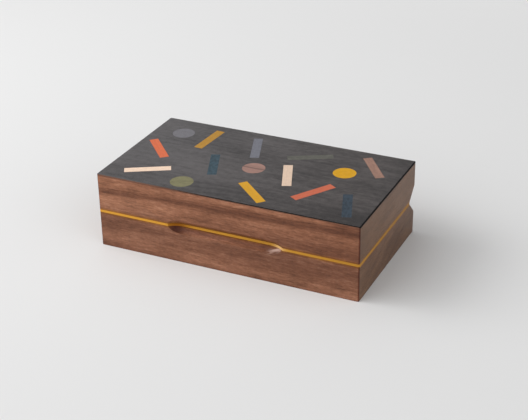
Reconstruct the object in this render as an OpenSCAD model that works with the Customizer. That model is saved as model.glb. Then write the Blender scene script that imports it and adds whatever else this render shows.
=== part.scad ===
// Inlaid walnut box with a hinged lid, in millimetres.
// The origin is the centre of the underside. +X runs to the right along the front, the front
// faces -Y, and +Z is up. The box is drawn closed.

/* [Box] */
// Length from the left end to the right end
box_length = 180; // [170:1:240]
// Depth from the front to the back
box_depth = 98; // [92:1:140]
// Height with the lid closed
box_height = 51; // [46:1:90]
// Height of the parting line between base and lid
parting_height = 25; // [20:0.5:32]
// Thickness of the walnut walls
wall_thickness = 13; // [12.5:0.5:18]
// Radius of the eased vertical corners
corner_radius = 1; // [0.5:0.1:4]

/* [Panels] */
// Thickness of the panel that carries the top veneer
top_panel_thickness = 5; // [3:0.5:7]
// Thickness of the bottom panel
bottom_panel_thickness = 4; // [2:0.5:7]
// Width of the ledges that the two panels are glued to
ledge_width = 4; // [2:0.5:7]
// Height of the bottom panel above the underside
bottom_recess = 0.5; // [0.2:0.1:2]
// Gap between a panel's edge and its wall
panel_clearance = 0.05; // [0.02:0.01:0.2]

/* [Veneers] */
// Thickness of the charcoal top veneer and its inlays
veneer_thickness = 0.8; // [0.5:0.1:2]
// Thickness of each yellow strip along the parting line
rim_thickness = 0.9; // [0.5:0.1:1.5]
// Glue gap around each inlay
glue_gap = 0.05; // [0.02:0.01:0.2]

/* [Inlays] */
// Diameter of the round inlays
disc_diameter = 15; // [10:0.5:17]
// Length of the bar inlays
bar_length = 30; // [20:0.5:32]
// Width of the bar inlays
bar_width = 6; // [4:0.5:8]

/* [Finger scoop] */
// Width of the scoop on the parting line
scoop_width = 80; // [50:1:110]
// Depth of the scoop into the front
scoop_depth = 3.5; // [2:0.1:4.5]
// Radius of the scoop's cross-section
scoop_nose_radius = 4.75; // [4.5:0.05:7]
// Radius of the scoop's ends, seen from above
scoop_end_radius = 17.5; // [12:0.5:20]

/* [Hinges] */
// Height and depth of the 45 degree bevels along the back
bevel_size = 10; // [9.5:0.1:11]
// Distance of each hinge's middle from the nearer end of the box
hinge_inset = 35; // [28:1:60]
// Length of a hinge
hinge_length = 24; // [20:0.5:32]
// Width of a leaf, measured down the bevel from its upper edge
leaf_width = 11; // [9:0.5:12]
// Thickness of a leaf
leaf_thickness = 1; // [0.8:0.1:1.2]
// Depth of a leaf's face below the bevel
leaf_sink = 0.1; // [0.05:0.01:0.2]
// Gap between a leaf's edges and its recess
leaf_clearance = 0.1; // [0.05:0.01:0.3]
// Number of knuckles, odd, so that the base leaf holds both ends of the pin
knuckle_count = 5; // [3, 5, 7]
// Outer diameter of a knuckle
knuckle_diameter = 3.2; // [2.8:0.1:3.4]
// Gap between knuckles, and between a knuckle and the other leaf
knuckle_gap = 0.2; // [0.1:0.05:0.4]
// Gap between the knuckles and the wood around them
channel_clearance = 0.25; // [0.15:0.05:0.4]
// Diameter of the hinge pin
pin_diameter = 1.6; // [1.2:0.1:1.8]
// Radial clearance of the pin in its knuckles
pin_clearance = 0.03; // [0.01:0.01:0.1]
// Diameter of the pin's peened ends
pin_head_diameter = 2.4; // [2:0.1:2.8]
// Thickness of the pin's peened ends
pin_head_thickness = 0.4; // [0.2:0.1:0.8]
// Distance of the pin's axis behind the bevels' shared edge, which keeps the bevels apart
pin_setback = 0.1; // [0.05:0.01:0.2]

/* [Screws] */
// Distance between the two screws in a leaf
screw_spacing = 14; // [10:0.5:16]
// Distance of the screws down the bevel from its upper edge
screw_offset = 6.6; // [5.5:0.1:7.5]
// Diameter of a screw's shank
screw_diameter = 2; // [1.6:0.1:2.2]
// Length of a screw with its head
screw_length = 7; // [4:0.5:8]
// Diameter of a screw's countersunk head
screw_head_diameter = 3.6; // [3:0.1:4]
// Width of the slot in a screw's head
screw_slot_width = 0.5; // [0.3:0.1:0.7]
// Depth of the slot in a screw's head
screw_slot_depth = 0.4; // [0.2:0.1:0.6]
// Gap between a screw and its hole
screw_clearance = 0.03; // [0.01:0.01:0.1]

/* [Colours] */
// Walnut of the lid
lid_walnut = "#84614C";
// Walnut of the base
base_walnut = "#7D5844";
// Dyed veneer on the top
charcoal = "#5B5857";
// Strips along the parting line
rim_yellow = "#C48C40";
// Hinges, pins and screws
brass = "#B5935A";

/* [Hidden] */
$fn = 64;
overcut = 1;
half_length = box_length / 2;
half_depth = box_depth / 2;
wall_top = box_height - veneer_thickness;
bevel_edge = half_depth - bevel_size;
pin_y = bevel_edge + pin_setback;
knuckle_radius = knuckle_diameter / 2;
channel_radius = knuckle_radius + channel_clearance;
channel_length = hinge_length + 2 * (pin_head_thickness + channel_clearance);
leaf_start = knuckle_radius + knuckle_gap;
leaf_floor = leaf_sink + leaf_thickness;
knuckle_pitch = hinge_length / knuckle_count;
hinge_offset = half_length - hinge_inset;
scoop_end_run = sqrt(pow(scoop_end_radius, 2) - pow(scoop_end_radius - scoop_depth, 2));
scoop_straight = scoop_width - 2 * scoop_end_run;

// The four sides in the order of their corners, counted from the front left corner.
SIDES = ["front", "right", "back", "left"];
// The hinges' places along the back.
HINGES = [["left", -hinge_offset], ["right", hinge_offset]];

// Each inlay: name, shape, place as shares of the half length and half depth, turn, colour.
INLAYS = [
    ["disc_slate", "disc", [-0.768, 0.596], 0, "#77767B"],
    ["disc_yellow", "disc", [0.604, 0.300], 0, "#CE9C34"],
    ["disc_rose", "disc", [-0.019, -0.031], 0, "#8F776D"],
    ["disc_green", "disc", [-0.388, -0.753], 0, "#807E65"],
    ["bar_amber", "bar", [-0.536, 0.549], 86, "#B18647"],
    ["bar_bluegrey", "bar", [-0.147, 0.547], 110, "#73737B"],
    ["bar_olive", "bar", [0.280, 0.565], 28, "#626159"],
    ["bar_rose", "bar", [0.761, 0.596], 126, "#947769"],
    ["bar_coral_left", "bar", [-0.808, 0.027], 133, "#D67254"],
    ["bar_teal", "bar", [-0.309, -0.137], 112, "#49575F"],
    ["bar_cream_centre", "bar", [0.249, -0.053], 112, "#D9BFAB"],
    ["bar_coral_right", "bar", [0.518, -0.361], 58, "#BB6752"],
    ["bar_navy", "bar", [0.807, -0.537], 110, "#414950"],
    ["bar_cream_left", "bar", [-0.707, -0.606], 29, "#D3BBA8"],
    ["bar_yellow", "bar", [0.132, -0.667], 138, "#D09B3B"],
];

// Corner number i of a rectangle that lies inset inside the box's plan.
function plan_corner(i, inset) = [
    (i % 4 == 1 || i % 4 == 2 ? 1 : -1) * (half_length - inset),
    (i % 4 > 1 ? 1 : -1) * (half_depth - inset)
];

// The box's outer plan with eased corners.
module box_plan() {
    square([box_length - 2 * corner_radius, box_depth], center = true);
    square([box_length, box_depth - 2 * corner_radius], center = true);
    for (i = [0:3])
        translate(plan_corner(i, corner_radius)) circle(corner_radius);
}

// The outer block between two heights.
module block(bottom, top) {
    translate([0, 0, bottom]) linear_extrude(top - bottom) box_plan();
}

// One side's share of the box between two heights, cut at 45 degrees at its two corners.
module mitred_side(side, bottom, top) {
    first = search([side], SIDES)[0];
    intersection() {
        block(bottom, top);
        translate([0, 0, bottom])
            linear_extrude(top - bottom)
                polygon([
                    plan_corner(first, -overcut),
                    plan_corner(first + 1, -overcut),
                    plan_corner(first + 1, wall_thickness),
                    plan_corner(first, wall_thickness)
                ]);
    }
}

// Room for a panel: the inside of the walls, widened by the ledge.
module panel_block(bottom, top, gap) {
    inset = wall_thickness - ledge_width + gap;
    translate([-half_length + inset, -half_depth + inset, bottom])
        cube([box_length - 2 * inset, box_depth - 2 * inset, top - bottom]);
}

// The groove that the bevels of base and lid make together along the back.
module back_groove() {
    reach = bevel_size + overcut;
    rotate([90, 0, 90])
        linear_extrude(box_length + 2 * overcut, center = true)
            polygon([
                [bevel_edge, parting_height],
                [bevel_edge + reach, parting_height + reach],
                [bevel_edge + reach, parting_height - reach]
            ]);
}

// A quarter turn of the scoop's round-nosed cutter, at the scoop's right end.
module scoop_end() {
    nose_centre = scoop_end_radius - scoop_nose_radius;
    translate([scoop_straight / 2, -half_depth + scoop_depth - scoop_end_radius, parting_height])
        rotate_extrude(angle = 90) {
            translate([nose_centre, 0]) circle(scoop_nose_radius);
            translate([0, -scoop_nose_radius]) square([nose_centre, 2 * scoop_nose_radius]);
        }
}

// The finger scoop across the parting line at the front.
module finger_scoop() {
    translate([0, -half_depth + scoop_depth - scoop_nose_radius, parting_height])
        rotate([0, 90, 0])
            cylinder(r = scoop_nose_radius, h = scoop_straight, center = true);
    scoop_end();
    mirror([1, 0, 0]) scoop_end();
}

// Moves a shape drawn on the XY plane onto a bevel: its origin goes to the bevels' shared edge,
// +Y runs down the base's bevel, or up the lid's, and +Z points out of the wood.
module on_bevel(part) {
    translate([0, bevel_edge, parting_height])
        mirror([0, 0, part == "lid" ? 1 : 0])
            rotate([-45, 0, 0])
                children();
}

// Places its children at both screws of one leaf, at the height of the screws' heads.
module at_leaf_screws(part, hinge_x) {
    on_bevel(part)
        for (end = [-1, 1])
            translate([hinge_x + end * screw_spacing / 2, screw_offset, -leaf_sink])
                children();
}

// A countersunk screw's outline, head up, made larger all round by gap.
module screw_shape(gap) {
    head_height = (screw_head_diameter - screw_diameter) / 2;
    translate([0, 0, -head_height])
        cylinder(d1 = screw_diameter + 2 * gap, d2 = screw_head_diameter + 2 * gap, h = head_height);
    translate([0, 0, -screw_length])
        cylinder(d = screw_diameter + 2 * gap, h = screw_length - head_height / 2);
}

// All screws of one part's leaves.
module hinge_screws(part) {
    color(brass)
        for (hinge = HINGES)
            at_leaf_screws(part, hinge[1])
                difference() {
                    screw_shape(0);
                    translate([-screw_head_diameter, -screw_slot_width / 2, -screw_slot_depth])
                        cube([2 * screw_head_diameter, screw_slot_width, screw_slot_depth + overcut]);
                }
}

// A cylinder along the pin's axis, from one place to another along X.
module along_pin(diameter, from, to) {
    translate([from, pin_y, parting_height])
        rotate([0, 90, 0])
            cylinder(d = diameter, h = to - from);
}

// What the hinges take out of one part's back wall.
module hinge_recesses(part) {
    for (hinge = HINGES) {
        along_pin(2 * channel_radius, hinge[1] - channel_length / 2, hinge[1] + channel_length / 2);
        on_bevel(part)
            translate([hinge[1] - hinge_length / 2 - leaf_clearance, 0, -leaf_floor])
                cube([
                    hinge_length + 2 * leaf_clearance,
                    leaf_width + leaf_clearance,
                    leaf_floor + overcut
                ]);
        at_leaf_screws(part, hinge[1]) screw_shape(screw_clearance);
    }
}

// Cuts that the walls and the rims of one part share.
module shared_cuts(part, side) {
    if (side != "front") back_groove();
    if (side == "front") finger_scoop();
    if (side == "back") hinge_recesses(part);
}

module base_wall(side) {
    color(base_walnut)
        difference() {
            mitred_side(side, 0, parting_height - rim_thickness);
            panel_block(-overcut, bottom_recess + bottom_panel_thickness, 0);
            shared_cuts("base", side);
        }
}

module lid_wall(side) {
    color(lid_walnut)
        difference() {
            mitred_side(side, parting_height + rim_thickness, wall_top);
            panel_block(wall_top - top_panel_thickness, wall_top + overcut, 0);
            shared_cuts("lid", side);
        }
}

module base_rim(side) {
    color(rim_yellow)
        difference() {
            mitred_side(side, parting_height - rim_thickness, parting_height);
            shared_cuts("base", side);
        }
}

module lid_rim(side) {
    color(rim_yellow)
        difference() {
            mitred_side(side, parting_height, parting_height + rim_thickness);
            shared_cuts("lid", side);
        }
}

module base_bottom_panel() {
    color(base_walnut)
        panel_block(bottom_recess, bottom_recess + bottom_panel_thickness, panel_clearance);
}

module lid_top_panel() {
    color(lid_walnut)
        panel_block(wall_top - top_panel_thickness, wall_top, panel_clearance);
}

// One inlay's outline in plan, made larger all round by gap.
module inlay_outline(inlay, gap) {
    translate([inlay[2][0] * half_length, inlay[2][1] * half_depth])
        rotate(inlay[3]) {
            if (inlay[1] == "disc") circle(d = disc_diameter + 2 * gap);
            else square([bar_length + 2 * gap, bar_width + 2 * gap], center = true);
        }
}

module lid_top_veneer() {
    color(charcoal)
        difference() {
            block(wall_top, box_height);
            for (inlay = INLAYS)
                translate([0, 0, wall_top - overcut])
                    linear_extrude(veneer_thickness + 2 * overcut)
                        inlay_outline(inlay, glue_gap);
        }
}

module lid_inlay(inlay) {
    color(inlay[4])
        translate([0, 0, wall_top])
            linear_extrude(veneer_thickness)
                inlay_outline(inlay, 0);
}

// Every second knuckle of a hinge: the base leaf holds the 1st, 3rd, 5th, the lid leaf the others.
function knuckles(part) = [for (i = [part == "base" ? 0 : 1 : 2 : knuckle_count - 1]) i];

// A hinge leaf: a plate up to the pin with its own knuckles on it, notched for the other leaf's.
module hinge_leaf(part, hinge_x) {
    low_end = hinge_x - hinge_length / 2;
    other_part = part == "base" ? "lid" : "base";
    color(brass)
        difference() {
            union() {
                on_bevel(part)
                    translate([low_end, 0, -leaf_floor])
                        cube([hinge_length, leaf_width, leaf_thickness]);
                along_pin(knuckle_diameter, low_end, low_end + hinge_length);
            }
            for (i = knuckles(other_part)) {
                from = low_end + i * knuckle_pitch - (i == 0 ? overcut : knuckle_gap / 2);
                to = low_end + (i + 1) * knuckle_pitch + (i == knuckle_count - 1 ? overcut : knuckle_gap / 2);
                on_bevel(part)
                    translate([from, -2 * knuckle_radius, -2 * knuckle_radius])
                        cube([to - from, 2 * knuckle_radius + leaf_start, 4 * knuckle_radius]);
            }
            along_pin(pin_diameter + 2 * pin_clearance, low_end - overcut, low_end + hinge_length + overcut);
            at_leaf_screws(part, hinge_x) screw_shape(screw_clearance);
        }
}

module hinge_pin(hinge_x) {
    low_end = hinge_x - hinge_length / 2;
    high_end = hinge_x + hinge_length / 2;
    color(brass) {
        along_pin(pin_diameter, low_end - pin_head_thickness, high_end + pin_head_thickness);
        along_pin(pin_head_diameter, low_end - pin_head_thickness, low_end);
        along_pin(pin_head_diameter, high_end, high_end + pin_head_thickness);
    }
}

for (side = SIDES) {
    base_wall(side);
    base_rim(side);
    lid_wall(side);
    lid_rim(side);
}
for (hinge = HINGES) {
    hinge_leaf("base", hinge[1]);
    hinge_leaf("lid", hinge[1]);
    hinge_pin(hinge[1]);
}
for (inlay = INLAYS)
    lid_inlay(inlay);
base_bottom_panel();
lid_top_panel();
lid_top_veneer();
hinge_screws("base");  // base_hinge_screws
hinge_screws("lid");  // lid_hinge_screws
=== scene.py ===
import math
import bmesh
import bpy
from mathutils import Matrix, Vector


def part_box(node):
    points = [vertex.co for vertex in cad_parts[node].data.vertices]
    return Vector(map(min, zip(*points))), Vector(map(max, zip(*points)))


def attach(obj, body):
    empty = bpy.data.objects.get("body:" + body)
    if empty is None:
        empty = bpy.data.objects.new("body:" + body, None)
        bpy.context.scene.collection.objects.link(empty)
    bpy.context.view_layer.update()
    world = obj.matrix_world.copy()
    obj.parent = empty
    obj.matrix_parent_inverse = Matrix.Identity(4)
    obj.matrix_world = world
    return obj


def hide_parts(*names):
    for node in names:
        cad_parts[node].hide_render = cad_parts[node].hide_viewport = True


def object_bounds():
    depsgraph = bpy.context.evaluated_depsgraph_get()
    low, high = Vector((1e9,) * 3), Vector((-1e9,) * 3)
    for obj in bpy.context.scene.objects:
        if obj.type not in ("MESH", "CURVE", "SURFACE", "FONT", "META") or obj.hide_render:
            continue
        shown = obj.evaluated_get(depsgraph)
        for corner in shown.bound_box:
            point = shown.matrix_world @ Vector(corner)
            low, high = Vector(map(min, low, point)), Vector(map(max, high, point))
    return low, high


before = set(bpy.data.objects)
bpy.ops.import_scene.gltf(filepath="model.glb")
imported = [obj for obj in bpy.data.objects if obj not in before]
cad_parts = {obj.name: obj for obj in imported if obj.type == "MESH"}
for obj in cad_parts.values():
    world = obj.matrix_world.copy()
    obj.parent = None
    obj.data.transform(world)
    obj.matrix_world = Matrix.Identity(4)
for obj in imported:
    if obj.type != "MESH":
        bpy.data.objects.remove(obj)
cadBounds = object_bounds()
sides = ("front", "right", "back", "left")
mm = 0.001

# Places that the finishes need, in millimetres, read off the frame.
veneerLow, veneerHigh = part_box("lid_top_veneer")
halfLength = veneerHigh.x / mm
halfDepth = veneerHigh.y / mm
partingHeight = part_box("base_front_rim")[1].z / mm
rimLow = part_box("base_front_rim")[0].z / mm
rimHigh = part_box("lid_front_rim")[1].z / mm
lidWallTop = veneerLow.z / mm
print("frame loaded:", len(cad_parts), "nodes")

noiseRoughness = 0.55  # how strong the finer layers of every noise are
poreSpan = (0.62, 0.72)  # where a wood's pore noise turns from wood into pore


def addObject(name, data):
    made = bpy.data.objects.new(name, data)
    bpy.context.scene.collection.objects.link(made)
    return made


class Sock:
    # A socket of a material, so that sums on values read as sums.
    def __init__(self, finish, socket):
        self.finish = finish
        self.socket = socket

    def maths(self, operation, *values):
        return self.finish.node("Math", {"operation": operation}, dict(enumerate(values)))

    def __add__(self, other):
        return self.maths("ADD", self, other)

    def __radd__(self, other):
        return self.maths("ADD", other, self)

    def __sub__(self, other):
        return self.maths("SUBTRACT", self, other)

    def __rsub__(self, other):
        return self.maths("SUBTRACT", other, self)

    def __mul__(self, other):
        return self.maths("MULTIPLY", self, other)

    def __rmul__(self, other):
        return self.maths("MULTIPLY", other, self)

    def __truediv__(self, other):
        return self.maths("DIVIDE", self, other)

    def __pow__(self, other):
        return self.maths("POWER", self, other)

    def __abs__(self):
        return self.maths("ABSOLUTE", self)

    def larger(self, other):
        return self.maths("MAXIMUM", self, other)

    def bell(self):
        # 1 where the value is 0, falling off smoothly on both sides.
        return self.maths("EXPONENT", 0.0 - self * self)


class Finish:
    # A material or a sky while its nodes are being laid out.
    def __init__(self, owner):
        self.owner = owner
        owner.use_nodes = True
        self.tree = owner.node_tree
        self.tree.nodes.clear()

    def node(self, kind, settings=None, values=None, output=0):
        made = self.tree.nodes.new("ShaderNode" + kind)
        for name, setting in (settings or {}).items():
            if name == "stops":
                fillRamp(made.color_ramp, setting)
            else:
                setattr(made, name, setting)
        for key, value in (values or {}).items():
            if isinstance(value, Sock):
                self.tree.links.new(value.socket, made.inputs[key])
            else:
                made.inputs[key].default_value = value
        return Sock(self, made.outputs[output]) if len(made.outputs) else None

    def along(self, kind, grain, seed):
        # Noise drawn out along the grain. Its kind is the length and width of its patches in mm, and
        # how many finer layers it has.
        length, width, detail = kind
        stretched = (grain[0] / length, grain[1] / width, grain[2] / width)
        spot = self.node("CombineXYZ", values=dict(enumerate(stretched)))
        return self.node(
            "TexNoise",
            {"noise_dimensions": "4D"},
            {"Vector": spot, "W": seed, "Scale": 1.0, "Detail": detail, "Roughness": noiseRoughness},
        )

    def step(self, value, low, high):
        return self.node(
            "MapRange",
            {"interpolation_type": "SMOOTHSTEP"},
            {"Value": value, "From Min": low, "From Max": high},
        )

    def blend(self, amount, first, second, blendType="MIX"):
        settings = {"data_type": "RGBA", "blend_type": blendType}
        return self.node("Mix", settings, {0: amount, 6: first, 7: second}, output=2)

    def tinted(self, amount, colour, tint):
        # The colour, multiplied by the tint as far as the amount says.
        return self.blend(amount, colour, self.blend(1.0, colour, tint, "MULTIPLY"))

    def grey(self, value):
        return self.node("CombineColor", values={0: value, 1: value, 2: value})

    def split(self, vector):
        return [self.node("SeparateXYZ", values={0: vector}, output=part) for part in range(3)]

    def place(self):
        # Where a point lies in the object, in millimetres.
        spot = self.node("TexCoord", output="Object")
        return self.split(self.node("VectorMath", {"operation": "SCALE"}, {0: spot, "Scale": 1 / mm}))

    def finish(self, colour, rough, sheen=0.5, bumpHeight=None, bumpDepth=0.0, metallic=0.0):
        values = {
            "Base Color": colour, "Roughness": rough, "Specular IOR Level": sheen, "Metallic": metallic,
        }
        if bumpHeight is not None:
            values["Normal"] = self.node(
                "Bump", values={"Height": bumpHeight, "Strength": 1.0, "Distance": bumpDepth * mm}
            )
        shader = self.node("BsdfPrincipled", values=values)
        self.node("OutputMaterial", values={0: shader})
        return self.owner


def newFinish(name):
    return Finish(bpy.data.materials.new(name))


def fillRamp(ramp, stops):
    ramp.elements[0].position, ramp.elements[0].color = stops[0]
    ramp.elements[1].position, ramp.elements[1].color = stops[-1]
    for position, colour in stops[1:-1]:
        ramp.elements.new(position).color = colour


def paint(red, green, blue):
    # A colour as it is read off a screen, for a socket.
    def linear(value):
        value = value / 255
        return value / 12.92 if value <= 0.04045 else ((value + 0.055) / 1.055) ** 2.4
    return (linear(red), linear(green), linear(blue), 1.0)


def grainOf(x, y, z, alongAxis):
    # A strip's own axes: along its grain, up its face, and into it.
    return (x, z, y) if alongAxis == "x" else (y, z, x)


def drawGrain(finish, look, kinds, grain, seed):
    # The noises that a wood is made of, each a kind that its own dictionary gives.
    return {kind: finish.along(look[kind], grain, seed + 2.0 * number) for number, kind in enumerate(kinds)}


walnut = {
    "stops": ((0.10, paint(90, 52, 33)), (0.40, paint(129, 80, 54)), (0.60, paint(147, 94, 66)),
              (0.95, paint(181, 127, 95))),
    "streak": (85.0, 2.6, 4.0),  # length and width in mm, and detail, of each kind of grain
    "cloud": (38.0, 9.0, 2.0),
    "fleck": (6.5, 0.9, 3.0),
    "grit": (1.8, 0.9, 2.0),
    "fibre": (6.0, 0.24, 1.0),
    "pore": (3.2, 0.13, 0.0),
    "ripple": (5.0, 20.0, 1.0),
    "slowBend": (130.0, 40.0, 1.0),
    "quickBend": (32.0, 12.0, 1.0),
    "patch": (18.0, 3.0, 3.0),
    "streakShare": 1.0,  # how strongly each kind shows
    "cloudShare": 0.75,
    "fleckShare": 0.85,
    "gritShare": 0.45,
    "fibreShare": 0.35,
    "rippleShare": 0.14,
    "wander": 6.0,  # how far the grain bends over a board, and over a few cm, mm
    "waver": 1.8,
    "streakBend": 0.6,  # how much of that bend the single streaks follow
    "patchSpan": (0.38, 0.60),  # where they are broken, and where they are whole
    "duskPowers": (0.88, 1.06, 1.16),  # dark streaks are browner than the wood around them
    "poreDark": 0.30,
    "poreDepth": 0.05,  # mm
    "poreHeight": 0.8,  # shares of that depth
    "fibreHeight": 0.5,
    "roughness": 0.46,
    "fibreRoughness": 0.10,
    "poreRoughness": 0.12,
    "glueWidth": 1.30,  # how far the glue has darkened the wood from a mitre, mm
    "glueDark": paint(173, 112, 70),
    "stainReach": 2.0,  # how far the yellow strip's oil has crept into the wood, mm
}


def streak(height, width, dark, start, end, fade, rise=0.0, patchy=0.2):
    # A streak of a single board, mm: its height halfway along, half its width, its darkness (below 0
    # for a pale band), where it starts and ends, over how much it fades there, how much it rises per mm
    # of length, and how far it comes and goes.
    return {"height": height, "width": width, "dark": dark, "start": start, "end": end, "fade": fade,
            "rise": rise, "patchy": patchy}


lidFrontStreaks = (
    streak(44.2, 1.6, 0.40, -160.0, -22.0, 12.0, rise=0.054, patchy=0.15),
    streak(43.1, 2.4, 0.56, -22.0, 160.0, 14.0, rise=0.016, patchy=0.15),
    streak(45.0, 0.45, 0.32, -120.0, 70.0, 15.0, rise=0.031, patchy=0.9),
    streak(46.6, 0.35, 0.34, -35.0, 70.0, 12.0, rise=0.012, patchy=1.0),
    streak(49.2, 1.9, -0.22, -35.0, 66.0, 16.0, patchy=0.3),
    streak(47.8, 4.0, 0.32, 72.0, 160.0, 10.0),
    streak(34.2, 3.8, -0.42, -160.0, -35.0, 28.0, patchy=0.3),
    streak(29.8, 6.6, 0.42, 0.0, 190.0, 45.0),
    streak(40.0, 12.0, -0.12, -190.0, -55.0, 20.0),
    streak(46.0, 1.6, -0.16, -190.0, -45.0, 15.0),
    streak(37.2, 5.0, -0.13, -35.0, 40.0, 25.0),
)
baseFrontStreaks = (
    streak(17.0, 5.6, 0.18, -190.0, 0.0, 20.0, rise=-0.006, patchy=0.4),
    streak(18.0, 8.5, 0.40, 0.0, 190.0, 20.0),
    streak(20.9, 1.3, -0.50, -22.0, 26.0, 9.0),
    # painted shade along the bottom edge, where the box meets the floor
    streak(0.0, 0.8, 0.35, -190.0, 190.0, 9.0, patchy=0.3),
    streak(14.8, 0.8, 0.16, -30.0, 95.0, 20.0, rise=-0.014, patchy=0.9),
    streak(19.4, 0.6, 0.16, -40.0, 70.0, 16.0, rise=0.004, patchy=0.9),
    streak(4.2, 3.8, -0.26, -50.0, 190.0, 30.0, patchy=0.3),
    streak(7.5, 2.4, -0.16, -190.0, -50.0, 30.0, patchy=0.3),
    # painted shade along the bottom edge at the left
    streak(0.7, 1.3, 0.24, -160.0, -62.0, 22.0, rise=-0.012),
)
rightStreaks = (
    streak(12.0, 14.0, 0.20, 0.0, 150.0, 30.0, patchy=0.0),
    streak(11.0, 2.8, 0.22, -60.0, 22.0, 10.0, rise=0.38),
    streak(34.0, 4.5, 0.12, -40.0, 10.0, 15.0, rise=0.30, patchy=0.4),
    streak(20.5, 2.6, 0.13, -200.0, 15.0, 20.0),
    streak(45.5, 3.6, 0.08, -200.0, 200.0, 20.0, patchy=0.3),
    streak(2.5, 1.4, 0.26, -20.0, 44.0, 10.0, rise=0.38, patchy=0.3),
    streak(17.5, 1.8, -0.16, -60.0, 12.0, 8.0, rise=0.38),
    streak(22.5, 1.0, 0.22, -60.0, -4.0, 8.0, rise=0.38, patchy=0.4),
)


def wood(tone, figure, tint, streaks=()):
    # One board: how bright it is, how strong its figure is, its tint and its single streaks.
    return {"tone": tone, "figure": figure, "tint": tint, "streaks": streaks}


# Each side's boards, and what both share: the strength of the fine grain, the glue film under the
# veneer in mm, the stain beside the yellow line, how bright that line is, how it darkens towards the
# back per mm, how dark its glue is, and how much the oiled wood shines.
plainTint = (1.0, 1.07, 1.18, 1.0)
lowTint = (0.98, 1.06, 1.18, 1.0)
plainSide = {
    "fine": 1.0, "stain": (1.0, 0.90, 0.45, 1.0),
    "rim": 0.80, "rimFall": 0.0, "glue": 0.7, "sheen": 0.4,
}
boards = {
    "front": {
        "lid": wood(0.87, 0.45, (1.11, 1.19, 1.30, 1.0), lidFrontStreaks),
        "base": wood(0.845, 0.60, (1.0, 1.09, 1.24, 1.0), baseFrontStreaks),
        "fine": 1.0, "film": 0.12, "stain": (1.02, 0.89, 0.28, 1.0),
        "rim": 0.71, "rimFall": 0.0, "glue": 0.7, "sheen": 0.25,
    },
    # The right end's tint is painted shade and reflection: it makes both of its boards darker and greyer
    # than the other sides.
    "right": {
        "lid": wood(0.87, 0.45, (0.72, 0.93, 0.92, 1.0), rightStreaks),
        "base": wood(0.845, 0.60, (0.74, 0.93, 0.90, 1.0), rightStreaks),
        "fine": 0.55, "film": 0.35, "stain": (1.55, 1.22, 0.18, 1.0),
        "rim": 0.70, "rimFall": 0.0019, "glue": 0.1, "sheen": 0.44,
    },
    "back": {
        "lid": wood(0.87, 0.90, plainTint),
        "base": wood(0.845, 1.00, lowTint),
        "film": 0.25, **plainSide,
    },
    "left": {
        "lid": wood(0.87, 0.80, plainTint),
        "base": wood(0.845, 0.90, lowTint),
        "film": 0.30, **plainSide,
    },
    "panel": {
        "lid": wood(0.90, 1.0, plainTint),
        "base": wood(0.87, 1.0, plainTint),
        "fine": 1.0, "stain": None, "sheen": 0.4,
    },
}

# The finger hold in the front walls: painted shadow at its left end, a pale band of painted highlight and
# rubbed wear at its right end.
scoop = {
    "skin": 0.05,  # the cut wood starts between these depths behind the front face, mm
    "depth": 0.40,
    "deepest": 4.0,  # and ends over the mm behind this depth
    "underLine": (0.95, 0.75),  # the painted shade and the pale band end between these distances under the parting, mm
    "tintDepths": (0.2, 2.4),  # the painted shade on the cut wood comes in between these depths, mm
    "tintTurns": (-12.0, 6.0),  # where the left tint turns into the right one, mm
    # painted shade on the cut wood: darker in the left half, a little darker and warmer in the right
    "leftTint": (0.79, 0.67, 0.64, 1.0),
    "rightTint": (1.02, 0.90, 0.80, 1.0),
    # the painted shadow at the hold's left end: its colour, middle, reach in mm and strength
    "brown": (0.30, 0.13, 0.045, 1.0),
    "leftEnd": -35.5,
    "leftReach": 6.0,
    "leftShare": 0.95,
    "rightStart": 28.5,  # the pale band, part painted highlight and part rubbed wear, rises to the right from here, mm
    "rightFadeIn": (26.5, 33.5),
    "rightFadeOut": (37.5, 39.0),
    "rightHeight": 20.3,
    "rightRise": 0.36,
    "rightWidth": 1.2,
    "rightShare": 0.52,
    "scuffAndHighlight": (9.0, 0.55, 2.0),
    "scuffAndHighlightSeed": 2.5,
    "scuffAndHighlightSpan": (0.36, 0.60),
    "wearAndHighlight": paint(228, 196, 182),
}


def nearFront(finish, y):
    # 1 on the front face and in the finger hold, 0 inside the box.
    return 1.0 - finish.step(y + halfDepth, scoop["deepest"], scoop["deepest"] + 1.0)


def inScoop(finish, y):
    # 1 on the cut surfaces of the finger hold, 0 on the front face and inside the box.
    inside = finish.step(y + halfDepth, scoop["skin"], scoop["depth"])
    return inside * nearFront(finish, y)


def shadeAndWearScoop(finish, x, y, z, colour):
    # Paints shade into the finger hold: a painted shadow at its left end, and a pale band of painted
    # highlight and rubbed wear at its right end.
    low, high = scoop["underLine"]
    below = 1.0 - finish.step(z, partingHeight - low, partingHeight - high)
    inside = inScoop(finish, y) * below
    # painted shade on the hold's cut wood, darker towards its left end
    cut = finish.blend(finish.step(x, *scoop["tintTurns"]), scoop["leftTint"], scoop["rightTint"])
    colour = finish.tinted(inside * finish.step(y + halfDepth, *scoop["tintDepths"]), colour, cut)
    # painted shadow at the hold's left end
    left = ((x - scoop["leftEnd"]) / scoop["leftReach"]).bell() * scoop["leftShare"]
    colour = finish.tinted(inside * left, colour, scoop["brown"])
    # a pale band at the right end: part painted highlight, part rubbed wear
    rise = (x - scoop["rightStart"]) * scoop["rightRise"]
    off = (z - scoop["rightHeight"] - rise) / scoop["rightWidth"]
    reach = finish.step(x, *scoop["rightFadeIn"]) * (1.0 - finish.step(x, *scoop["rightFadeOut"]))
    slanted = (x, z - x * scoop["rightRise"], y)
    scuffsAndHighlights = finish.along(scoop["scuffAndHighlight"], slanted, scoop["scuffAndHighlightSeed"])
    scuffsAndHighlights = finish.step(scuffsAndHighlights, *scoop["scuffAndHighlightSpan"])
    wearAndHighlight = off.bell() * reach * scuffsAndHighlights * nearFront(finish, y) * below * scoop["rightShare"]
    return finish.blend(wearAndHighlight, colour, scoop["wearAndHighlight"])


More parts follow.
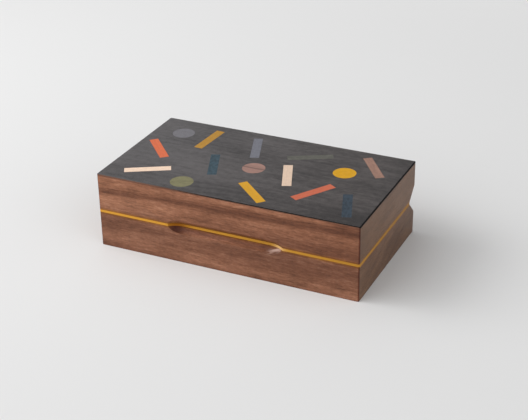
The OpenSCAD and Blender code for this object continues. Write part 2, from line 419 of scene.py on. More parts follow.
def duskOf(finish, streaks, grain, height, seed):
    # How bright the single streaks leave each point: 1 where there is none, less in a dark one.
    dusk = 1.0
    for number, line in enumerate(streaks):
        patch = finish.step(finish.along(walnut["patch"], grain, seed + number), *walnut["patchSpan"])
        offset = (height - (line["height"] + grain[0] * line["rise"])) / line["width"]
        begun = finish.step(grain[0], line["start"] - line["fade"], line["start"] + line["fade"])
        ended = finish.step(grain[0], line["end"] - line["fade"], line["end"] + line["fade"])
        whole = 1.0 - line["patchy"] + patch * line["patchy"]
        dusk = dusk * (1.0 - offset.bell() * (begun * (1.0 - ended) * whole * line["dark"]))
    return dusk


def makeWalnut(name, alongAxis, seed, board, body, scooped=False):
    own = board[body]
    finish = newFinish(name)
    x, y, z = finish.place()
    grain = grainOf(x, y, z, alongAxis)
    slow = finish.along(walnut["slowBend"], grain, seed + 1.0)
    quick = finish.along(walnut["quickBend"], grain, seed + 2.0)
    shift = (slow - 0.5) * walnut["wander"] + (quick - 0.5) * walnut["waver"]
    grain = (grain[0], grain[1] + shift, grain[2])
    kinds = ("streak", "cloud", "fleck", "grit", "fibre", "pore", "ripple")
    drawn = drawGrain(finish, walnut, kinds, grain, seed + 3.0)

    shade = 0.5 + (drawn["streak"] - 0.5) * (walnut["streakShare"] * own["figure"])
    shade = shade + (drawn["cloud"] - 0.5) * walnut["cloudShare"]
    for kind in ("fleck", "grit", "fibre"):
        shade = shade + (drawn[kind] - 0.5) * (walnut[kind + "Share"] * board["fine"])
    colour = finish.node("ValToRGB", {"stops": walnut["stops"]}, {0: shade})
    pore = finish.step(drawn["pore"], *poreSpan)
    light = own["tone"] * (1.0 + (drawn["ripple"] - 0.5) * walnut["rippleShare"])
    light = light * (1.0 - pore * walnut["poreDark"])
    colour = finish.blend(1.0, colour, finish.grey(light), "MULTIPLY")
    if own["streaks"]:
        dusk = duskOf(finish, own["streaks"], grain, z + shift * walnut["streakBend"], seed + 20.0)
        browner = {number: dusk ** power for number, power in enumerate(walnut["duskPowers"])}
        colour = finish.blend(1.0, colour, finish.node("CombineColor", values=browner), "MULTIPLY")
    colour = finish.blend(1.0, colour, own["tint"], "MULTIPLY")
    if board["stain"]:
        # The yellow strip's oil has crept a little into the wood beside it.
        rimReach = rimHigh - partingHeight
        stained = 1.0 - finish.step(abs(z - partingHeight), rimReach, rimReach + walnut["stainReach"])
        colour = finish.tinted(stained, colour, board["stain"])
        # Dark glue shows along the mitres and under the veneer.
        seam = abs((halfLength - abs(x)) - (halfDepth - abs(y)))
        glued = 1.0 - finish.step(seam, 0.0, walnut["glueWidth"])
        underVeneer = finish.step(z, lidWallTop - board["film"], lidWallTop - 0.5 * board["film"])
        colour = finish.tinted(glued.larger(underVeneer), colour, walnut["glueDark"])
    # the finger hold's painted shade and shadow, and its pale band of painted highlight and wear
    if scooped:
        colour = shadeAndWearScoop(finish, x, y, z, colour)
    fibre = drawn["fibre"] - 0.5
    rough = walnut["roughness"] + fibre * walnut["fibreRoughness"] + pore * walnut["poreRoughness"]
    height = 1.0 - pore * walnut["poreHeight"] + fibre * walnut["fibreHeight"]
    return finish.finish(colour, rough, board["sheen"], height, walnut["poreDepth"])


topSheen = 0.125  # the veneers are waxed, and less glossy than lacquer

charcoal = {
    "dark": paint(45, 43, 44),
    "light": paint(95, 92, 93),
    "shadeSpan": (-0.1, 1.1),  # the shades that are drawn dark and light
    "cloud": (60.0, 20.0, 3.0),
    "streak": (100.0, 3.6, 5.0),
    "fleck": (12.0, 0.9, 3.0),
    "fibre": (12.0, 0.28, 2.0),
    "pore": (3.4, 0.15, 0.0),
    "mottle": (4.5, 3.0, 3.0),
    "bend": (90.0, 60.0, 1.0),
    "cloudShare": 1.2,
    "streakShare": 0.85,
    "fleckShare": 0.5,
    "fibreShare": 0.35,
    "mottleShare": 0.75,
    "poreShare": 0.2,
    "wander": 14.0,  # how far the grain bends over the sheet, mm
    "fade": 0.51,  # painted reflection: how much lighter the left end of the sheet is than the right end
    "patches": (
        {"place": (-80.0, 31.0), "reach": (45.0, 13.0), "light": -0.13},
        {"place": (-70.0, -6.0), "reach": (55.0, 12.0), "light": 0.09},
        {"place": (56.0, -38.0), "reach": (28.0, 9.0), "light": -0.17},
        {"place": (10.0, 44.0), "reach": (40.0, 9.0), "light": -0.05},
        {"place": (70.0, 8.0), "reach": (45.0, 14.0), "light": 0.08},
    ),
    "warm": paint(255, 248, 243),  # the tint of the right end
    "roughness": 0.40,
    "streakRoughness": 0.16,
    "poreRoughness": 0.10,
    "edgeRoughness": 0.4,
    "poreDepth": 0.03,  # mm
    "poreHeight": 0.8,  # shares of that depth
    "fibreHeight": 0.4,
}

# The sheet's edge is darker than its face and a little ragged, widest along the right end. The
# wood's colour shows through the lower part of the front edge, and through all of it at the left.
sheetEdge = {
    "dark": paint(14, 12, 11),
    "brown": paint(122, 88, 73),
    "brownShare": 0.85,
    "chip": (2.2, 1.0, 2.0),
    "chipSeed": 20.0,
    "chips": 0.9,  # how far the dark edge wanders onto the face, mm
    "rightBorder": 0.75,  # dark border on the face along the right end and the front, mm
    "frontBorder": 0.45,
    "borderSpan": (-0.05, 0.10),  # the border comes in between these distances, mm
    "sideSpan": (-0.10, -0.02),  # and the sheet's own sides between these
    "brownPart": (-60.0, 0.0),  # all of the front edge is brown to the left of these places, mm
    "brownChips": 40.0,  # how much further than the chips that end wanders
    "brownDepths": (0.5, 0.9),  # how far it reaches onto the face, mm
    "frontDepths": (0.02, 0.12),  # what counts as the front edge itself, mm
    "brownHeights": (0.25, 0.55),  # how high the lower part reaches over the walls, mm
}


def darkenEdge(finish, x, y, z, colour):
    # The colour with the sheet's edge in it, and how much of each point is edge.
    chips = finish.along(sheetEdge["chip"], (x, y, z), sheetEdge["chipSeed"])
    ragged = (chips - 0.5) * sheetEdge["chips"]
    right = x - halfLength + sheetEdge["rightBorder"]
    front = (0.0 - y) - halfDepth + sheetEdge["frontBorder"]
    beyond = (abs(x) - halfLength).larger(abs(y) - halfDepth)
    border = finish.step(right.larger(front) + ragged, *sheetEdge["borderSpan"])
    outside = border.larger(finish.step(beyond, *sheetEdge["sideSpan"]))
    brownPart = 1.0 - finish.step(x + ragged * sheetEdge["brownChips"], *sheetEdge["brownPart"])
    onFront = 1.0 - finish.step(y + halfDepth, *sheetEdge["frontDepths"])
    low, high = sheetEdge["brownHeights"]
    lower = (1.0 - finish.step(z, lidWallTop + low, lidWallTop + high)) * onFront
    brown = brownPart * (1.0 - finish.step(y + halfDepth, *sheetEdge["brownDepths"]))
    brown = brown.larger(lower) * sheetEdge["brownShare"]
    edge = finish.blend(brown, sheetEdge["dark"], sheetEdge["brown"])
    return finish.blend(outside, colour, edge), outside


def makeCharcoal(name):
    finish = newFinish(name)
    x, y, z = finish.place()
    bend = (finish.along(charcoal["bend"], (x, y, z), 1.0) - 0.5) * charcoal["wander"]
    grain = (x, y + bend, z)
    kinds = ("cloud", "streak", "fleck", "fibre", "pore", "mottle")
    drawn = drawGrain(finish, charcoal, kinds, grain, 2.0)
    pore = finish.step(drawn["pore"], *poreSpan)
    # The sheet is painted lighter towards its left end, as a reflection of the bright room would make it.
    shade = 0.5 - x * (charcoal["fade"] / (2 * halfLength)) - pore * charcoal["poreShare"]
    for kind in ("cloud", "streak", "fleck", "fibre", "mottle"):
        shade = shade + (drawn[kind] - 0.5) * charcoal[kind + "Share"]
    for patch in charcoal["patches"]:
        lengthwise = ((x - patch["place"][0]) / patch["reach"][0]).bell()
        across = ((grain[1] - patch["place"][1]) / patch["reach"][1]).bell()
        shade = shade + lengthwise * across * patch["light"]
    colour = finish.blend(finish.step(shade, *charcoal["shadeSpan"]), charcoal["dark"], charcoal["light"])
    colour = finish.tinted(finish.step(x, -halfLength, halfLength), colour, charcoal["warm"])
    colour, outside = darkenEdge(finish, x, y, z, colour)
    rough = charcoal["roughness"] + (drawn["streak"] - 0.5) * charcoal["streakRoughness"]
    rough = rough + pore * charcoal["poreRoughness"] + outside * charcoal["edgeRoughness"]
    height = 1.0 - pore * charcoal["poreHeight"] + (drawn["fibre"] - 0.5) * charcoal["fibreHeight"]
    return finish.finish(colour, rough, topSheen, height, charcoal["poreDepth"])


# Each inlay: its dyed colour, how strong its grain is, how mottled it is where that isn't usual, how
# dark the line across a disc is, and the turn of that disc's grain in degrees.
inlays = {
    "disc_slate": {"colour": paint(112, 110, 115), "grain": 0.10, "mottle": 0.14},
    "disc_yellow": {"colour": paint(212, 156, 0), "grain": 0.07, "mottle": 0.10},
    "disc_rose": {"colour": paint(156, 120, 109), "grain": 0.30, "line": 0.45},
    "disc_green": {"colour": paint(125, 121, 88), "grain": 0.34, "mottle": 0.16, "line": 0.22,
                   "turn": 32.0},
    "bar_amber": {"colour": paint(178, 130, 41), "grain": 0.16},
    "bar_bluegrey": {"colour": paint(110, 111, 120), "grain": 0.10, "mottle": 0.16},
    "bar_olive": {"colour": paint(88, 87, 80), "grain": 0.20, "mottle": 0.30},
    "bar_rose": {"colour": paint(149, 114, 99), "grain": 0.34, "mottle": 0.16},
    "bar_coral_left": {"colour": paint(214, 106, 66), "grain": 0.08},
    "bar_teal": {"colour": paint(49, 70, 81), "grain": 0.16, "mottle": 0.45},
    "bar_cream_centre": {"colour": paint(225, 197, 174), "grain": 0.10},
    "bar_coral_right": {"colour": paint(199, 101, 72), "grain": 0.10},
    "bar_navy": {"colour": paint(44, 57, 69), "grain": 0.16, "mottle": 0.55},
    "bar_cream_left": {"colour": paint(244, 214, 190), "grain": 0.12},
    "bar_yellow": {"colour": paint(210, 155, 30), "grain": 0.10},
}

# The finish that they share.
dyed = {
    "streak": (40.0, 1.3, 4.0),
    "fibre": (9.0, 0.22, 1.0),
    "pore": (2.6, 0.13, 0.0),
    "mottle": (2.6, 1.5, 3.0),
    "poreSpan": (0.63, 0.72),
    "mottleSpan": (0.34, 0.66),
    "streakShare": 2.0,  # how strongly each kind shows, of the inlay's own grain
    "poreShare": 0.7,
    "usualMottle": 0.08,
    "lineWander": 1.2,  # the dark line across a disc, mm
    "lineWidth": 0.8,
    "roughness": 0.40,
    "fibreRoughness": 0.10,
    "poreDepth": 0.02,  # mm
    "fibreHeight": 0.3,  # a share of that depth
}


def makeDyedVeneer(name, look, turn, centre, seed):
    finish = newFinish(name)
    spot = finish.node("TexCoord", output="Object")
    turned = finish.node(
        "Mapping",
        {"vector_type": "TEXTURE"},
        {"Vector": spot, "Location": centre, "Rotation": (0.0, 0.0, turn), "Scale": (mm, mm, mm)},
    )
    grain = finish.split(turned)
    drawn = drawGrain(finish, dyed, ("streak", "fibre", "pore", "mottle"), grain, seed)
    streak = drawn["streak"] - 0.5
    fibre = drawn["fibre"]
    pore = finish.step(drawn["pore"], *dyed["poreSpan"])
    mottle = finish.step(drawn["mottle"], *dyed["mottleSpan"])
    light = 1.0 + streak * dyed["streakShare"] * look["grain"] + (fibre - 0.5) * look["grain"]
    light = light * (1.0 - pore * dyed["poreShare"] * look["grain"])
    light = light * (1.0 + (mottle - 0.5) * look.get("mottle", dyed["usualMottle"]))
    if "line" in look:
        offset = (grain[1] + streak * dyed["lineWander"]) / dyed["lineWidth"]
        light = light * (1.0 - offset.bell() * look["line"])
    colour = finish.blend(1.0, look["colour"], finish.grey(light), "MULTIPLY")
    rough = dyed["roughness"] + (fibre - 0.5) * dyed["fibreRoughness"]
    height = 1.0 - pore + fibre * dyed["fibreHeight"]
    return finish.finish(colour, rough, topSheen, height, dyed["poreDepth"])


rimYellow = {
    "colour": paint(227, 163, 58),
    "streak": (28.0, 0.9, 3.0),
    "fibre": (9.0, 0.2, 1.0),
    "streakShare": 0.34,
    "fibreShare": 0.12,
    "gapReach": 0.10,  # the shade in the parting itself, mm
    "gapDark": 0.14,
    "fade": 0.0016,  # how much it darkens towards the right, per mm
    "glueSpan": (0.60, 0.90),  # where the brown glue line begins, above and below the parting, mm
    "glue": paint(142, 86, 24),
    # painted shadow at the finger hold's left end, and a pale band at its right end, part painted highlight
    # and part rubbed wear
    "shadedBrown": paint(146, 87, 8),
    "brownEnd": -34.5,
    "brownReach": 9.0,
    "wearAndHighlight": paint(246, 202, 140),
    "paleMiddle": 37.0,
    "paleReach": 3.8,
    "paleShare": 0.6,
    "roughness": 0.45,
    "fibreRoughness": 0.1,
    "fibreDepth": 0.02,  # mm
}


def makeRimYellow(name, alongAxis, seed, board, scooped=False):
    finish = newFinish(name)
    x, y, z = finish.place()
    drawn = drawGrain(finish, rimYellow, ("streak", "fibre"), grainOf(x, y, z, alongAxis), seed)
    fibre = drawn["fibre"]
    fromParting = abs(z - partingHeight)
    gap = 1.0 - finish.step(fromParting, 0.0, rimYellow["gapReach"])
    light = 1.0 + (drawn["streak"] - 0.5) * rimYellow["streakShare"]
    light = light + (fibre - 0.5) * rimYellow["fibreShare"]
    light = light * (1.0 - gap * rimYellow["gapDark"])
    light = light * (board["rim"] - x * rimYellow["fade"] - y * board["rimFall"])
    colour = finish.blend(1.0, rimYellow["colour"], finish.grey(light), "MULTIPLY")
    glued = finish.step(fromParting, *rimYellow["glueSpan"]) * board["glue"]
    if scooped:
        glued = glued * (1.0 - inScoop(finish, y))  # the finger hold cuts the glue away
    colour = finish.blend(glued, colour, rimYellow["glue"])
    if scooped:
        # Painted shadow at the hold's left end, and a pale band of painted highlight and rubbed wear at its
        # right end.
        left = ((x - rimYellow["brownEnd"]) / rimYellow["brownReach"]).bell() * inScoop(finish, y)
        colour = finish.blend(left, colour, rimYellow["shadedBrown"])
        right = ((x - rimYellow["paleMiddle"]) / rimYellow["paleReach"]).bell() * nearFront(finish, y)
        colour = finish.blend(right * rimYellow["paleShare"], colour, rimYellow["wearAndHighlight"])
    rough = rimYellow["roughness"] + (fibre - 0.5) * rimYellow["fibreRoughness"]
    return finish.finish(colour, rough, topSheen, fibre, rimYellow["fibreDepth"])


easing = {
    "wood": 0.35,  # how far the arrises of each material are eased, mm
    "veneer": 0.18,
    "rim": 0.05,
    "brass": 0.0,  # the hinges' edges stay crisp
    "segments": 2,
    "sharpAngle": 25.0,  # an edge that turns further than this is an arris, degrees
    "flatAngle": 0.4,  # triangles that turn less than this are joined into one face, degrees
    "outlineAngle": 1.0,  # the same, where only the face's outline is wanted
    "mergeDistance": 0.002,  # mm
    "normalSlack": 0.02,  # how far off a face may point and still be a mitre
    "flatNormal": 0.99,
    "heightSlack": 0.02,  # how far off a glued face may lie, mm
}


def mergedMesh(nodeName, flatAngle=None):
    # A solid's mesh with its loose triangles joined, and if asked made into flat faces.
    work = bmesh.new()
    work.from_mesh(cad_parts[nodeName].data)
    bmesh.ops.remove_doubles(work, verts=work.verts, dist=easing["mergeDistance"] * mm)
    if flatAngle:
        limit = math.radians(flatAngle)
        bmesh.ops.dissolve_limit(work, angle_limit=limit, verts=work.verts, edges=work.edges)
    return work


def isMitre(normal):
    slack = easing["normalSlack"]
    return abs(abs(normal.x) - abs(normal.y)) < slack and abs(normal.z) < slack


def isGlued(face, gluedHeights):
    # Faces that are glued to a neighbour keep their edges crisp, so that no groove opens.
    flat = abs(face.normal.z) > easing["flatNormal"]
    height = face.calc_center_median().z / mm
    atGlue = any(abs(height - glued) < easing["heightSlack"] for glued in gluedHeights)
    return isMitre(face.normal) or (flat and atGlue)


def easedCopy(nodeName, width, body, material, gluedHeights=()):
    mesh = bpy.data.meshes.new(nodeName + "_eased")
    sharpAngle = math.radians(easing["sharpAngle"])
    work = mergedMesh(nodeName, easing["flatAngle"])
    weights = work.edges.layers.float.new("bevel_weight_edge")
    for edge in work.edges:
        if len(edge.link_faces) == 2 and edge.calc_face_angle(0.0) > sharpAngle:
            if not any(isGlued(face, gluedHeights) for face in edge.link_faces):
                edge[weights] = 1.0
    work.to_mesh(mesh)
    work.free()
    mesh.materials.clear()
    mesh.materials.append(material)
    mesh.shade_smooth()
    mesh.set_sharp_from_angle(angle=sharpAngle)
    piece = addObject(nodeName + "_eased", mesh)
    if width:
        bevel = piece.modifiers.new("ease", "BEVEL")
        bevel.limit_method = "WEIGHT"
        bevel.width = width * mm
        bevel.segments = easing["segments"]
    shading = piece.modifiers.new("flatFaces", "WEIGHTED_NORMAL")
    shading.weight = 100
    shading.keep_sharp = True
    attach(piece, body)
    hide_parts(nodeName)
    return piece


for number, side in enumerate(sides):
    alongAxis = "x" if side in ("front", "back") else "y"
    isFront = side == "front"
    board = boards[side]
    lidWood = makeWalnut("lidWalnut_" + side, alongAxis, 10.0 + 20 * number, board, "lid", isFront)
    baseWood = makeWalnut("baseWalnut_" + side, alongAxis, 90.0 + 20 * number, board, "base", isFront)
    yellow = makeRimYellow("rimYellow_" + side, alongAxis, 5.0 * number, board, isFront)
    easedCopy("lid_" + side + "_wall", easing["wood"], "lid", lidWood, (lidWallTop, rimHigh))
    easedCopy("base_" + side + "_wall", easing["wood"], "base", baseWood, (rimLow,))
    easedCopy("lid_" + side + "_rim", easing["rim"], "lid", yellow, (rimHigh,))
    easedCopy("base_" + side + "_rim", easing["rim"], "base", yellow, (rimLow,))

lidPanelWood = makeWalnut("panelWalnut_lid", "x", 210.0, boards["panel"], "lid")
basePanelWood = makeWalnut("panelWalnut_base", "x", 230.0, boards["panel"], "base")
topVeneer = makeCharcoal("charcoalVeneer")
easedCopy("lid_top_panel", easing["wood"], "lid", lidPanelWood, (lidWallTop,))
easedCopy("base_bottom_panel", easing["wood"], "base", basePanelWood)
easedCopy("lid_top_veneer", easing["veneer"], "lid", topVeneer, (lidWallTop,))
print("walls, rims, panels and top veneer eased")


def longestEdge(nodeName):
    # The direction of a flat piece's longest side.
    work = mergedMesh(nodeName, easing["outlineAngle"])
    longest = max(work.edges, key=lambda edge: edge.calc_length())
    way = longest.verts[1].co - longest.verts[0].co
    work.free()
    return way


inlayPlaces = {}
for number, (name, look) in enumerate(inlays.items()):
    node = "inlay_" + name
    low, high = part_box(node)
    turn = math.radians(look.get("turn", 0.0))
    if name.startswith("bar"):
        way = longestEdge(node)
        turn = math.atan2(way.y, way.x)
    centre = (low + high) / 2
    inlayPlaces[name] = (centre, turn)
    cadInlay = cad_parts[node]
    cadInlay.data.materials.clear()
    cadInlay.data.materials.append(makeDyedVeneer("dyed_" + name, look, turn, centre, 3.0 * number))
print("inlays finished:", len(inlays))


class Weaver:
    # A geometry node tree while it is being laid out, with named inputs.
    def __init__(self, name, inputs):
        self.tree = bpy.data.node_groups.new(name, "GeometryNodeTree")
        self.tree.interface.new_socket("Geometry", in_out="INPUT", socket_type="NodeSocketGeometry")
        self.tree.interface.new_socket("Geometry", in_out="OUTPUT", socket_type="NodeSocketGeometry")
        self.identifiers = {}
        for label, kind in inputs.items():
            made = self.tree.interface.new_socket(label, in_out="INPUT", socket_type="NodeSocket" + kind)
            self.identifiers[label] = made.identifier
        self.inputs = self.tree.nodes.new("NodeGroupInput").outputs

    def add(self, kind, settings=None, values=None, output=0):
        made = self.tree.nodes.new(kind)
        for name, setting in (settings or {}).items():
            setattr(made, name, setting)
        for key, value in (values or {}).items():
            # A list goes into one socket that takes several links.
            for one in value if isinstance(value, list) else [value]:
                if isinstance(one, bpy.types.NodeSocket):
                    self.tree.links.new(one, made.inputs[key])
                else:
                    made.inputs[key].default_value = one
        return made.outputs[output]

    def maths(self, operation, first, second):
        return self.add("ShaderNodeMath", {"operation": operation}, {0: first, 1: second})

    def raised(self, geometry, height):
        place = self.add("ShaderNodeCombineXYZ", values={2: height})
        return self.add("GeometryNodeTransform", values={0: geometry, "Translation": place})

    def end(self, geometry):
        real = self.add("GeometryNodeRealizeInstances", values={0: geometry})
        painted = self.add("GeometryNodeSetMaterial", values={0: real, "Material": self.inputs["Finish"]})
        out = self.tree.nodes.new("NodeGroupOutput")
        self.tree.links.new(painted, out.inputs[0])


def grow(name, carrier, weaver, values):
    # Runs a tree on a carrier mesh and keeps what it makes as a plain mesh.
    holder = addObject(name + "_carrier", carrier)
    modifier = holder.modifiers.new("grow", "NODES")
    modifier.node_group = weaver.tree
    for label, value in values.items():
        modifier[weaver.identifiers[label]] = value
    bpy.context.view_layer.update()
    graph = bpy.context.evaluated_depsgraph_get()
    mesh = bpy.data.meshes.new_from_object(holder.evaluated_get(graph), depsgraph=graph)
    mesh.name = name
    bpy.data.objects.remove(holder)
    return addObject(name, mesh)


def pointCarrier(name, points, attributes):
    mesh = bpy.data.meshes.new(name)
    mesh.from_pydata(points, [], [])
    for label, (kind, values) in attributes.items():
        layer = mesh.attributes.new(label, kind, "POINT")
        if kind == "FLOAT_VECTOR":
            layer.data.foreach_set("vector", [part for value in values for part in value])
        else:
            layer.data.foreach_set("value", values)
    return mesh


# Glue lines: what fills the gap between each inlay and the veneer around it.
glueLine = {
    "sizes": {"Bar Length": 30.0, "Bar Width": 6.0, "Disc Diameter": 15.0, "Gap": 0.05},  # mm
    "drop": 0.01,  # how far the glue lies under the top, mm
    "discSides": 96,
    "dark": paint(30, 26, 24),
    "light": paint(52, 44, 38),
    "patch": (2.0, 2.0, 2.0),
    "roughness": 0.5,
    "patchRoughness": 0.2,
}


def makeGlue(name):
    finish = newFinish(name)
    patch = finish.along(glueLine["patch"], finish.place(), 1.0)
    colour = finish.blend(patch, glueLine["dark"], glueLine["light"])
    rough = glueLine["roughness"] + patch * glueLine["patchRoughness"]
    return finish.finish(colour, rough)


def buildGlueTree():
    inputs = {label: "Float" for label in glueLine["sizes"]}
    weaver = Weaver("glueLines", {**inputs, "Height": "Float", "Finish": "Material"})
    wide = weaver.inputs["Gap"]
    rectangle = "GeometryNodeCurvePrimitiveQuadrilateral"
    section = weaver.add(rectangle, values={0: wide, 1: weaver.inputs["Height"]})
    bar = weaver.add(rectangle, values={
        0: weaver.maths("ADD", weaver.inputs["Bar Length"], wide),
        1: weaver.maths("ADD", weaver.inputs["Bar Width"], wide),
    })
    radius = weaver.maths("MULTIPLY", weaver.maths("ADD", weaver.inputs["Disc Diameter"], wide), 0.5)
    disc = weaver.add("GeometryNodeCurvePrimitiveCircle", values={
        "Resolution": glueLine["discSides"],
        "Radius": radius,
    })
    isDisc = weaver.add("GeometryNodeInputNamedAttribute", {"data_type": "BOOLEAN"}, {"Name": "isDisc"})
    turn = weaver.add("GeometryNodeInputNamedAttribute", {"data_type": "FLOAT_VECTOR"}, {"Name": "turn"})
    isBar = weaver.add("FunctionNodeBooleanMath", {"operation": "NOT"}, {0: isDisc})
    lines = []
    for curve, chosen in ((bar, isBar), (disc, isDisc)):
        line = weaver.add("GeometryNodeCurveToMesh", values={0: curve, 1: section})
        rotation = weaver.add("FunctionNodeEulerToRotation", values={0: turn})
        lines.append(weaver.add("GeometryNodeInstanceOnPoints", values={
            "Points": weaver.inputs["Geometry"],
            "Selection": chosen,
            "Instance": line,
            "Rotation": rotation,
        }))
    weaver.end(weaver.add("GeometryNodeJoinGeometry", values={0: lines}))
    return weaver


glueHeight = (veneerHigh.z - veneerLow.z) - glueLine["drop"] * mm
glueMiddle = veneerLow.z + glueHeight / 2
gluePoints = [(centre.x, centre.y, glueMiddle) for centre, _ in inlayPlaces.values()]
glueCarrier = pointCarrier("gluePoints", gluePoints, {
    "isDisc": ("BOOLEAN", [name.startswith("disc") for name in inlayPlaces]),
    "turn": ("FLOAT_VECTOR", [(0.0, 0.0, turn) for _, turn in inlayPlaces.values()]),
})
glueSizes = {label: size * mm for label, size in glueLine["sizes"].items()}
glue = grow("glue_lines", glueCarrier, buildGlueTree(), {
    **glueSizes,
    "Height": glueHeight,
    "Finish": makeGlue("darkGlue"),
})
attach(glue, "lid")
print("glue lines grown:", len(glue.data.polygons), "faces")


hingeBrass = {
    "bright": paint(206, 168, 98),
    "tarnished": paint(164, 124, 66),
    "brushing": (14.0, 0.12, 2.0),
    "tarnish": (5.0, 5.0, 3.0),
    "tarnishSpan": (0.35, 0.75),
    "roughness": 0.26,
    "brushRoughness": 0.16,
    "tarnishRoughness": 0.12,
    "brushDepth": 0.01,  # mm
}


def makeBrass(name):
    finish = newFinish(name)
    place = finish.place()
    brushed = finish.along(hingeBrass["brushing"], place, 1.0)
    tarnish = finish.along(hingeBrass["tarnish"], place, 3.0)
    dulled = finish.step(tarnish, *hingeBrass["tarnishSpan"])
    colour = finish.blend(dulled, hingeBrass["bright"], hingeBrass["tarnished"])
    rough = hingeBrass["roughness"] + (brushed - 0.5) * hingeBrass["brushRoughness"]
    rough = rough + tarnish * hingeBrass["tarnishRoughness"]
    depth = hingeBrass["brushDepth"]
    return finish.finish(colour, rough, bumpHeight=brushed, bumpDepth=depth, metallic=1.0)


brass = makeBrass("satinBrass")
for hinge in ("left", "right"):
    for part, body in (("base_leaf", "base"), ("lid_leaf", "lid"), ("pin", "base")):
        easedCopy("hinge_" + hinge + "_" + part, easing["brass"], body, brass)
print("hinges finished")

screw = {
    "sizes": {  # mm
        "Head Diameter": 3.6,
        "Shank Diameter": 2.0,
        "Head Height": 0.8,
        "Length": 7.0,
        "Slot Width": 0.5,
        "Slot Depth": 0.4,
    },
    "headSides": 48,
    "shankSides": 32,
    "tipShare": 0.5,  # the tip's width, of the shank's
    "spin": 1.4,  # how far a slot turns at random, either way, radians
    "seeds": {"base": 7, "lid": 12},
    "ringDepth": 0.05,  # how deep under its highest point a head's rim is looked for, mm
}


def buildScrewTree():
    inputs = {label: "Float" for label in screw["sizes"]}
    weaver = Weaver("countersunkScrews", {**inputs, "Seed": "Int", "Finish": "Material"})
    headRadius = weaver.maths("MULTIPLY", weaver.inputs["Head Diameter"], 0.5)
    shankRadius = weaver.maths("MULTIPLY", weaver.inputs["Shank Diameter"], 0.5)
    head = weaver.add("GeometryNodeMeshCone", values={
        "Vertices": screw["headSides"],
        "Radius Top": headRadius,
        "Radius Bottom": shankRadius,
        "Depth": weaver.inputs["Head Height"],
    })
    head = weaver.raised(head, weaver.maths("MULTIPLY", weaver.inputs["Head Height"], -1.0))
    # The pointed shank, from under the head to the tip.
    shankLength = weaver.maths("SUBTRACT", weaver.inputs["Length"], weaver.inputs["Head Height"])
    shank = weaver.add("GeometryNodeMeshCone", values={
        "Vertices": screw["shankSides"],
        "Radius Top": shankRadius,
        "Radius Bottom": weaver.maths("MULTIPLY", shankRadius, screw["tipShare"]),
        "Depth": shankLength,
    })
    shank = weaver.raised(shank, weaver.maths("MULTIPLY", weaver.inputs["Length"], -1.0))
    # A bar twice as long as the head is wide, and twice as deep as the slot, cuts the slot.
    slotSize = weaver.add("ShaderNodeCombineXYZ", values={
        0: weaver.maths("MULTIPLY", weaver.inputs["Head Diameter"], 2.0),
        1: weaver.inputs["Slot Width"],
        2: weaver.maths("MULTIPLY", weaver.inputs["Slot Depth"], 2.0),
    })
    slot = weaver.add("GeometryNodeMeshCube", values={"Size": slotSize})
    slotted = weaver.add("GeometryNodeMeshBoolean", {"operation": "DIFFERENCE"}, {0: head, 1: slot})
    whole = weaver.add("GeometryNodeJoinGeometry", values={0: [slotted, shank]})
    axis = weaver.add("GeometryNodeInputNamedAttribute", {"data_type": "FLOAT_VECTOR"}, {"Name": "axis"})
    upright = weaver.add("FunctionNodeAlignRotationToVector", {"axis": "Z"}, {"Vector": axis})
    spin = weaver.add("FunctionNodeRandomValue", {"data_type": "FLOAT"}, {
        2: -screw["spin"],
        3: screw["spin"],
        "Seed": weaver.inputs["Seed"],
    }, output=1)
    spinWay = weaver.add("ShaderNodeCombineXYZ", values={2: spin})
    spinTurn = weaver.add("FunctionNodeEulerToRotation", values={0: spinWay})
    local = {"rotation_space": "LOCAL"}
    turned = weaver.add("FunctionNodeRotateRotation", local, {0: upright, 1: spinTurn})
    weaver.end(weaver.add("GeometryNodeInstanceOnPoints", values={
        "Points": weaver.inputs["Geometry"], "Instance": whole, "Rotation": turned,
    }))
    return weaver


def islands(nodeName):
    # The separate solids of a node, each as a list of points.
    work = mergedMesh(nodeName)
    left = set(work.verts)
    found = []
    while left:
        todo = [left.pop()]
        island = []
        while todo:
            vert = todo.pop()
            island.append(vert.co.copy())
            for edge in vert.link_edges:
                other = edge.other_vert(vert)
                if other in left:
                    left.remove(other)
                    todo.append(other)
        found.append(island)
    work.free()
    return found


def headCentres(nodeName, axis):
    # The middle of each screw head's rim, from left to right.
    centres = []
    for island in islands(nodeName):
        top = max(point.dot(axis) for point in island)
        ring = [point for point in island if point.dot(axis) > top - screw["ringDepth"] * mm]
        middle = sum(ring, Vector()) / len(ring)
        middle.x = (min(point.x for point in ring) + max(point.x for point in ring)) / 2
        centres.append(middle)
    return sorted(centres, key=lambda point: point.x)


screwTree = buildScrewTree()
screwSizes = {label: size * mm for label, size in screw["sizes"].items()}
for body, rise in (("base", 1.0), ("lid", -1.0)):
    axis = Vector((0.0, 1.0, rise)).normalized()
    heads = headCentres(body + "_hinge_screws", axis)
    axes = [tuple(axis)] * len(heads)
    carrier = pointCarrier(body + "ScrewPoints", heads, {"axis": ("FLOAT_VECTOR", axes)})
    screws = grow(body + "_screws", carrier, screwTree, {
        **screwSizes,
        "Seed": screw["seeds"][body],
        "Finish": brass,
    })
    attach(screws, body)
    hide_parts(body + "_hinge_screws")
    print("screws grown for", body + ":", len(heads))


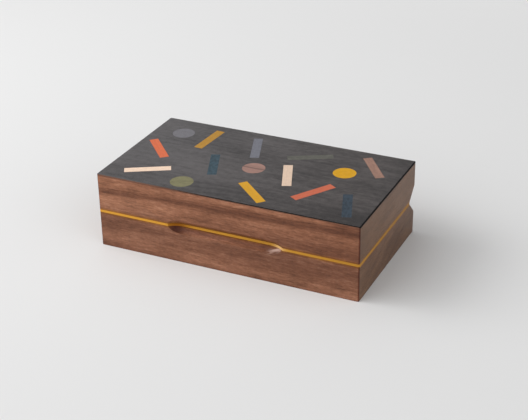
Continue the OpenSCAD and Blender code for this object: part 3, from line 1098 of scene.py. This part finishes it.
studio = {
    "floorSize": 12.0,
    "floorColour": (0.80, 0.80, 0.80, 1.0),
    "seen": 0.79,  # how bright the room behind is to the camera
    "seenFrom": 0.35,  # the floor turns into that brightness between these distances, metres
    "seenTo": 0.90,
    # Broad soft patches of light in the room: where they are (0 is the right, 90 the back), how bright,
    # and where they aren't the usual patch, how high and how wide.
    "usualPatch": {"elevation": 22.0, "inner": 10.0, "outer": 55.0},
    "room": (
        {"azimuth": 0.0, "strength": 0.754},
        {"azimuth": 135.0, "strength": 0.634},
        {"azimuth": 225.0, "strength": 1.958},
        {"azimuth": 315.0, "strength": 0.694},
        {"azimuth": 0.0, "elevation": 90.0, "inner": 5.0, "outer": 50.0, "strength": 0.365},
    ),
    "lampElevation": 37.6,
    "lampDistance": 1.35,  # metres
    "lampSize": 0.80,
    "lamps": ({"azimuth": 203.4, "power": 2.98}, {"azimuth": 185.0, "power": 4.10}),
}


def seenDirectly(finish):
    # 1 for what the camera sees itself, or in metal or glass.
    seen = finish.node("LightPath", output="Is Camera Ray")
    for way in ("Is Glossy Ray", "Is Transmission Ray"):
        seen = seen.larger(finish.node("LightPath", output=way))
    return seen


def layFloor():
    mesh = bpy.data.meshes.new("studioFloor")
    reach = studio["floorSize"] / 2
    corners = [(-reach, -reach, 0), (reach, -reach, 0), (reach, reach, 0), (-reach, reach, 0)]
    mesh.from_pydata(corners, [], [(0, 1, 2, 3)])
    finish = newFinish("floorPaper")
    x, y, z = finish.place()
    away = (x * x + y * y) ** 0.5 * mm
    far = finish.step(away, studio["seenFrom"], studio["seenTo"]) * seenDirectly(finish)
    paper = finish.node("BsdfDiffuse", values={"Color": studio["floorColour"]})
    plain = finish.node("Emission", values={"Color": (1.0, 1.0, 1.0, 1.0), "Strength": studio["seen"]})
    mixed = finish.node("MixShader", values={0: far, 1: paper, 2: plain})
    finish.node("OutputMaterial", values={0: mixed})
    mesh.materials.append(finish.owner)
    floor = addObject("studioFloor", mesh)
    floor.location.z = cadBounds[0][2]


def wayOf(azimuth, elevation):
    across = math.cos(math.radians(elevation))
    turn = math.radians(azimuth)
    return Vector((across * math.cos(turn), across * math.sin(turn), math.sin(math.radians(elevation))))


def lightWorld():
    world = bpy.data.worlds.new("studioWorld")
    bpy.context.scene.world = world
    sky = Finish(world)
    way = sky.node("TexCoord", output="Generated")
    light = 0.0
    for wanted in studio["room"]:
        patch = {**studio["usualPatch"], **wanted}
        middle = wayOf(patch["azimuth"], patch["elevation"])
        near = sky.node("VectorMath", {"operation": "DOT_PRODUCT"}, {0: way, 1: middle}, output="Value")
        outer = math.cos(math.radians(patch["outer"]))
        inner = math.cos(math.radians(patch["inner"]))
        light = light + sky.step(near, outer, inner) * patch["strength"]
    strength = light + seenDirectly(sky) * (studio["seen"] - light)
    background = sky.node("Background", values={"Color": (1.0, 1.0, 1.0, 1.0), "Strength": strength})
    sky.node("OutputWorld", values={0: background})


def hangLamps():
    for number, wanted in enumerate(studio["lamps"]):
        lamp = bpy.data.lights.new("softLamp%d" % number, "AREA")
        lamp.shape = "DISK"
        lamp.size = studio["lampSize"]
        lamp.energy = wanted["power"]
        holder = addObject(lamp.name, lamp)
        spot = wayOf(wanted["azimuth"], studio["lampElevation"]) * studio["lampDistance"]
        holder.location = spot
        holder.rotation_euler = spot.to_track_quat("Z", "Y").to_euler()


# The camera stands to the right of the front and looks down on the box.
camera = {
    "place": (0.3202, -0.6575, 0.4018),
    "azimuth": 25.66,
    "elevation": 27.55,
    "roll": -1.02,
    "lens": 86.27,  # mm
    "sensor": 36.0,
    "nearest": 0.01,  # what it still sees, metres
}


def setCamera():
    lens = bpy.data.cameras.new("standingCamera")
    lens.lens = camera["lens"]
    lens.sensor_width = camera["sensor"]
    lens.sensor_fit = "HORIZONTAL"
    lens.clip_start = camera["nearest"]
    stand = addObject("standingCamera", lens)
    turn = Matrix.Rotation(math.radians(camera["azimuth"]), 4, "Z")
    tilt = Matrix.Rotation(math.radians(90 - camera["elevation"]), 4, "X")
    roll = Matrix.Rotation(math.radians(camera["roll"]), 4, "Z")
    stand.matrix_world = Matrix.Translation(camera["place"]) @ turn @ tilt @ roll
    bpy.context.scene.camera = stand


layFloor()
lightWorld()
hangLamps()
setCamera()
bpy.context.scene.view_settings.view_transform = "Standard"
print("studio set")
